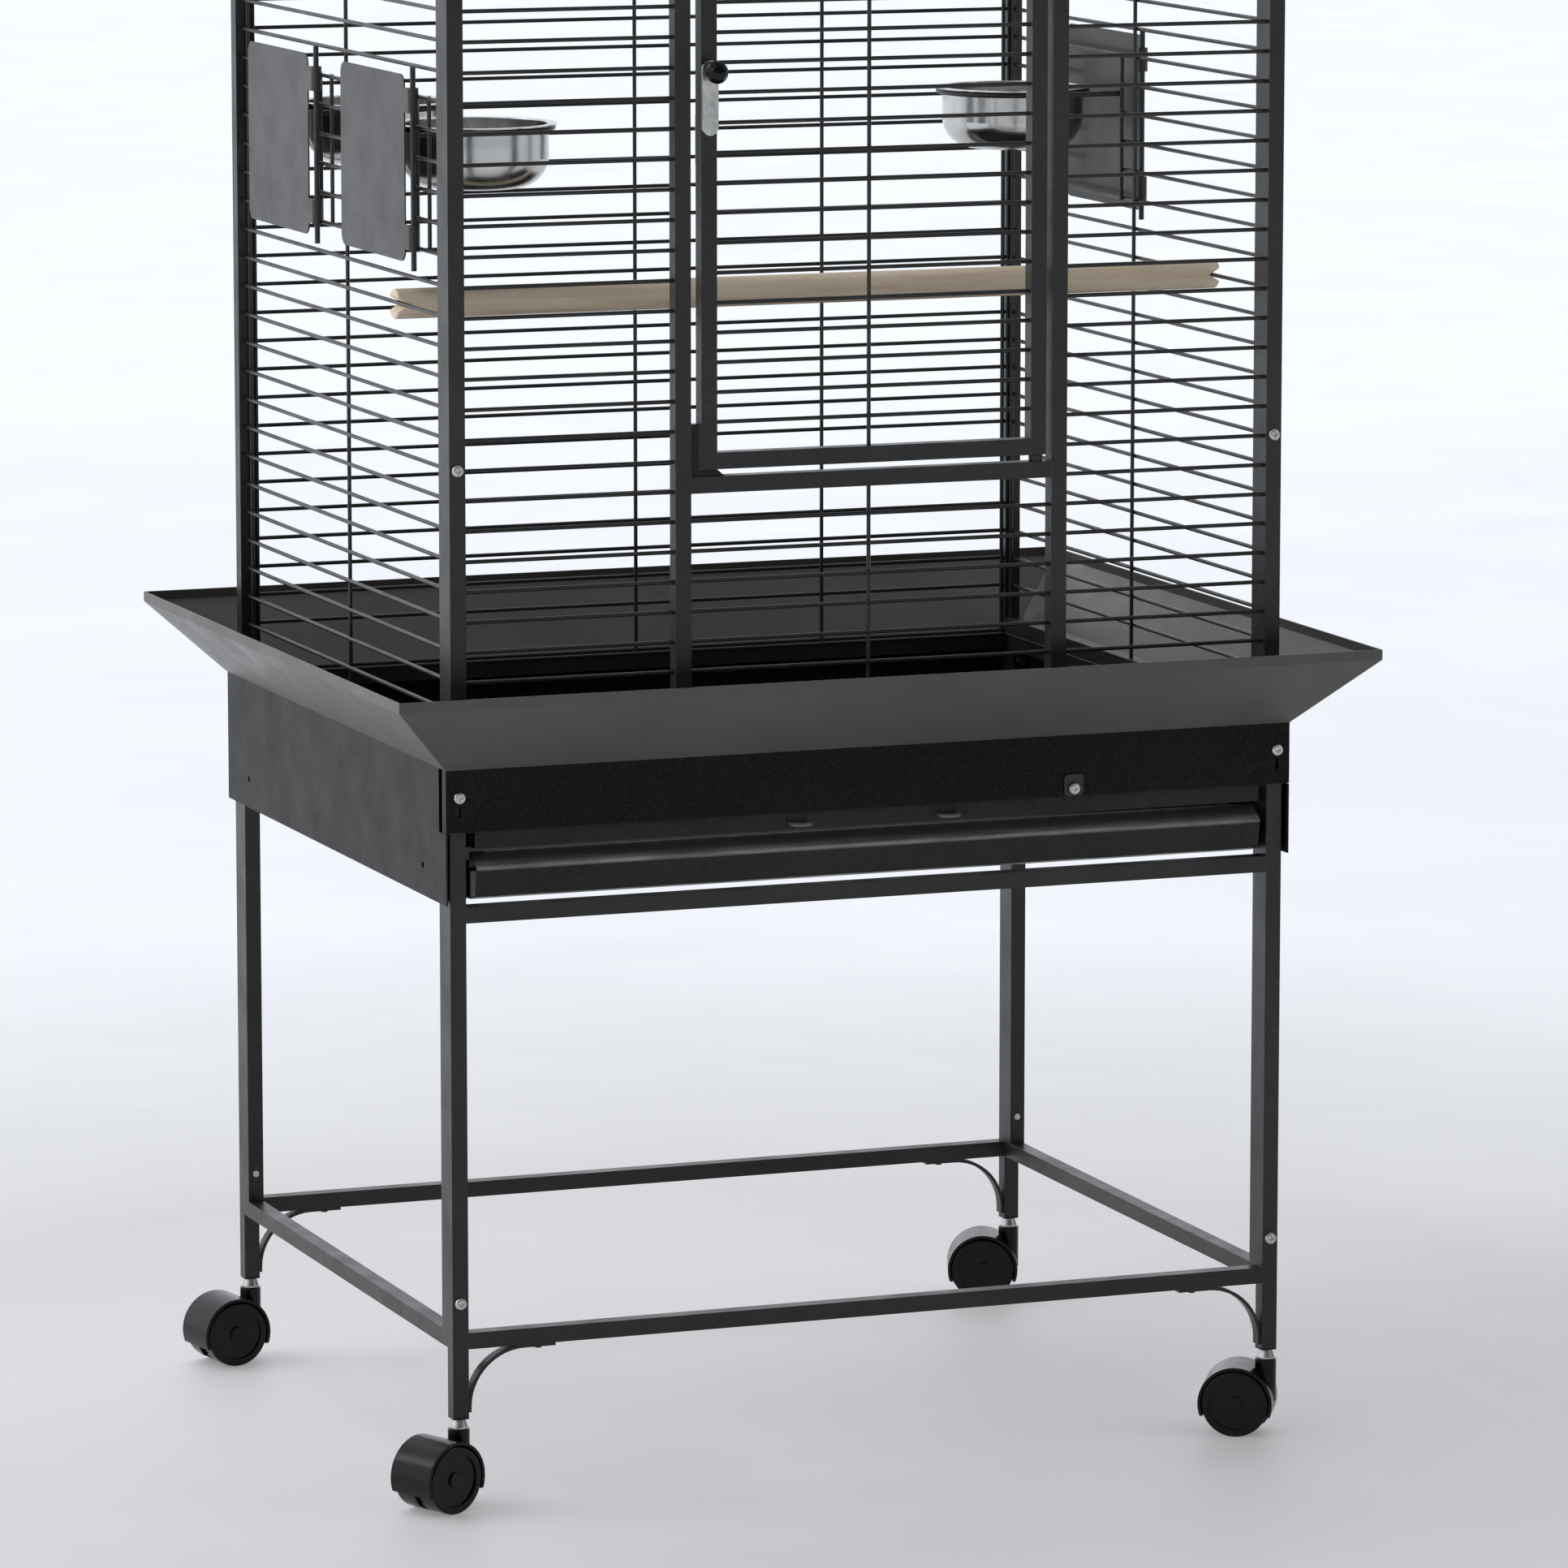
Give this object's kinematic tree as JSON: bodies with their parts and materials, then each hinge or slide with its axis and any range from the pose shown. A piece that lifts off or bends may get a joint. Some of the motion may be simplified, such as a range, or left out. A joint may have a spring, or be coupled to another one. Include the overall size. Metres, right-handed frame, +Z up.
{
  "type": "bird cage on stand",
  "caption": "Square-tube bird cage with wire grilles, hinged front door, side feeder doors and cups, seed guards, slide-out tray and grate, on a castered stand.",
  "frame": {"origin": "centre of the footprint's bounding box, on the floor", "axes": "+X to the viewer's right when facing the door, +Y from the door to the back, +Z up"},
  "size_m": [0.7608, 0.6308, 1.4056],
  "materials": {
    "frame_coat": "charcoal hammertone powder coat on square tube",
    "sheet_coat": "charcoal hammertone powder coat on folded sheet",
    "wire_coat": "charcoal powder coat on round wire",
    "tray_coat": "charcoal powder coat, worn bright on the rolled front edge",
    "grate_coat": "charcoal powder coat",
    "zinc": "bright zinc plate",
    "cup_steel": "spun stainless steel",
    "perch_wood": "bare turned hardwood",
    "black_plastic": "moulded black nylon",
    "wheel_plastic": "moulded black nylon, smooth disc faces",
    "stem_steel": "turned steel"
  },
  "bodies": {
    "cage_and_stand": {"stand_front_frame": "frame_coat", "stand_rear_frame": "frame_coat", "stand_left_frame": "frame_coat", "stand_right_frame": "frame_coat", "corner_braces": "frame_coat", "cage_front_frame": "frame_coat", "cage_left_frame": "frame_coat", "cage_right_frame": "frame_coat", "roof_frame": "frame_coat", "door_hinge_pins": "frame_coat", "grate_runners": "frame_coat", "front_apron": "sheet_coat", "rear_skirt": "sheet_coat", "left_skirt": "sheet_coat", "right_skirt": "sheet_coat", "front_seed_guard": "sheet_coat", "rear_seed_guard": "sheet_coat", "left_seed_guard": "sheet_coat", "right_seed_guard": "sheet_coat", "front_left_grille": "wire_coat", "front_right_grille": "wire_coat", "front_lower_grille": "wire_coat", "front_upper_grille": "wire_coat", "left_grille": "wire_coat", "right_grille": "wire_coat", "rear_grille": "wire_coat", "roof_grille": "wire_coat", "cup_ring_left_front": "wire_coat", "cup_ring_left_rear": "wire_coat", "cup_ring_right": "wire_coat", "feeder_hinge_pins": "wire_coat", "stand_bolts": "zinc", "cage_bolts": "zinc", "perch": "perch_wood", "door_stop": "black_plastic", "caster_sockets": "black_plastic", "caster_stems": "stem_steel"},
    "tray": {"tray": "tray_coat"},
    "grate": {"grate_frame": "grate_coat", "grate_wires": "grate_coat", "grate_pulls": "grate_coat"},
    "grate_latch": {"grate_latch": "frame_coat"},
    "door": {"door_frame": "frame_coat", "door_grille": "wire_coat"},
    "door_latch": {"door_latch": "zinc", "door_latch_knob": "black_plastic"},
    "feeder_door_left_front": {"feeder_door_left_front": "sheet_coat"},
    "feeder_door_left_rear": {"feeder_door_left_rear": "sheet_coat"},
    "feeder_door_right": {"feeder_door_right": "sheet_coat"},
    "cup_left_front": {"cup_left_front": "cup_steel"},
    "cup_left_rear": {"cup_left_rear": "cup_steel"},
    "cup_right": {"cup_right": "cup_steel"},
    "caster_front_left": {"caster_hood_front_left": "black_plastic"},
    "caster_wheels_front_left": {"caster_wheels_front_left": "wheel_plastic"},
    "caster_front_right": {"caster_hood_front_right": "black_plastic"},
    "caster_wheels_front_right": {"caster_wheels_front_right": "wheel_plastic"},
    "caster_rear_left": {"caster_hood_rear_left": "black_plastic"},
    "caster_wheels_rear_left": {"caster_wheels_rear_left": "wheel_plastic"},
    "caster_rear_right": {"caster_hood_rear_right": "black_plastic"},
    "caster_wheels_rear_right": {"caster_wheels_rear_right": "wheel_plastic"}
  },
  "joints": [
    {"name": "tray_slide", "type": "slide", "parent": "cage_and_stand", "child": "tray", "axis": [0, -1, 0], "range_m": [0, 0.4]},
    {"name": "grate_slide", "type": "slide", "parent": "cage_and_stand", "child": "grate", "axis": [0, -1, 0], "range_m": [0, 0.4]},
    {"name": "grate_latch_turn", "type": "hinge", "parent": "cage_and_stand", "child": "grate_latch", "pos_m": [0.1557, -0.2642, 0.5005], "axis": [0, 1, 0], "range_deg": [0, 180]},
    {"name": "door_hinge", "type": "hinge", "parent": "cage_and_stand", "child": "door", "pos_m": [0.1295, -0.252, 0.742], "axis": [0, 0, 1], "range_deg": [0, 120]},
    {"name": "door_latch_turn", "type": "hinge", "parent": "door", "child": "door_latch", "pos_m": [-0.126, -0.252, 0.995], "axis": [0, 1, 0], "range_deg": [0, 90]},
    {"name": "feeder_door_left_front_hinge", "type": "hinge", "parent": "cage_and_stand", "child": "feeder_door_left_front", "pos_m": [-0.3235, -0.183, 0.963], "axis": [0, 0, 1], "range_deg": [0, 135]},
    {"name": "feeder_door_left_rear_hinge", "type": "hinge", "parent": "cage_and_stand", "child": "feeder_door_left_rear", "pos_m": [-0.3235, 0.044, 0.963], "axis": [0, 0, 1], "range_deg": [0, 135]},
    {"name": "feeder_door_right_hinge", "type": "hinge", "parent": "cage_and_stand", "child": "feeder_door_right", "pos_m": [0.3235, 0.007, 0.963], "axis": [0, 0, -1], "range_deg": [0, 135]},
    {"name": "cup_left_front_lift", "type": "slide", "parent": "cage_and_stand", "child": "cup_left_front", "axis": [0, 0, 1], "range_m": [0, 0.06]},
    {"name": "cup_left_rear_lift", "type": "slide", "parent": "cage_and_stand", "child": "cup_left_rear", "axis": [0, 0, 1], "range_m": [0, 0.06]},
    {"name": "cup_right_lift", "type": "slide", "parent": "cage_and_stand", "child": "cup_right", "axis": [0, 0, 1], "range_m": [0, 0.06]},
    {"name": "swivel_front_left", "type": "hinge", "parent": "cage_and_stand", "child": "caster_front_left", "pos_m": [-0.319, -0.254, 0.05], "axis": [0, 0, 1], "continuous": true},
    {"name": "roll_front_left", "type": "hinge", "parent": "caster_front_left", "child": "caster_wheels_front_left", "pos_m": [-0.33803, -0.26288, 0.025], "axis": [0.4226, -0.9063, 0], "continuous": true},
    {"name": "swivel_front_right", "type": "hinge", "parent": "cage_and_stand", "child": "caster_front_right", "pos_m": [0.319, -0.254, 0.05], "axis": [0, 0, 1], "continuous": true},
    {"name": "roll_front_right", "type": "hinge", "parent": "caster_front_right", "child": "caster_wheels_front_right", "pos_m": [0.30081, -0.2435, 0.025], "axis": [-0.5, -0.866, 0], "continuous": true},
    {"name": "swivel_rear_left", "type": "hinge", "parent": "cage_and_stand", "child": "caster_rear_left", "pos_m": [-0.319, 0.254, 0.05], "axis": [0, 0, 1], "continuous": true},
    {"name": "roll_rear_left", "type": "hinge", "parent": "caster_rear_left", "child": "caster_wheels_rear_left", "pos_m": [-0.33968, 0.25035, 0.025], "axis": [0.1736, -0.9848, 0], "continuous": true},
    {"name": "swivel_rear_right", "type": "hinge", "parent": "cage_and_stand", "child": "caster_rear_right", "pos_m": [0.319, 0.254, 0.05], "axis": [0, 0, 1], "continuous": true},
    {"name": "roll_rear_right", "type": "hinge", "parent": "caster_rear_right", "child": "caster_wheels_rear_right", "pos_m": [0.29939, 0.26153, 0.025], "axis": [-0.3584, -0.9336, 0], "continuous": true}
  ]
}
